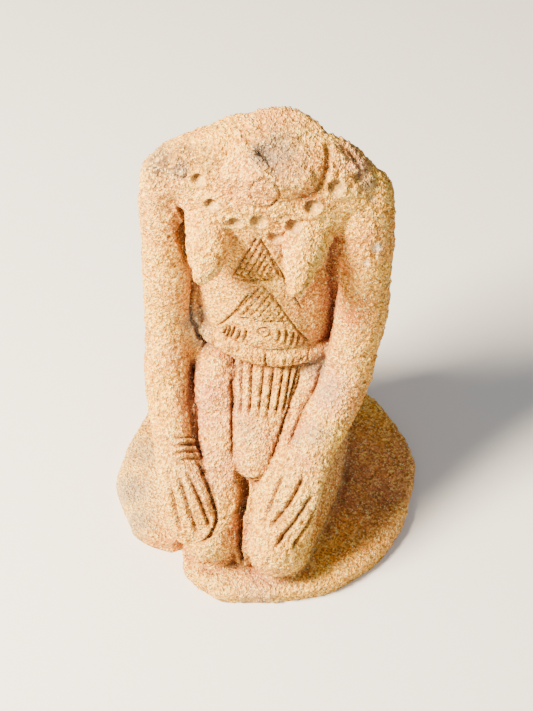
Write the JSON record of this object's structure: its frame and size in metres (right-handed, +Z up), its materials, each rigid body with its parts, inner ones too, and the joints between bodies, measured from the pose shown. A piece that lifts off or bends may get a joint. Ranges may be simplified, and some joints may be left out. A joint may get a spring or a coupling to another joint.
{
  "type": "terracotta kneeling figure",
  "caption": "Headless kneeling woman in coarse terracotta, hands on her thighs, fixed on a round flat base; stands on its underside.",
  "frame": {"origin": "middle of the base's outline, on its flat underside", "axes": "+Z up, the figure faces -Y, and +X points to the figure's left"},
  "size_m": [0.2001, 0.2004, 0.2907],
  "materials": {
    "coarse_terracotta": "unglazed, matt, rough with coarse grog"
  },
  "bodies": {
    "root": {"kneeling_figure": "coarse_terracotta"}
  },
  "joints": []
}
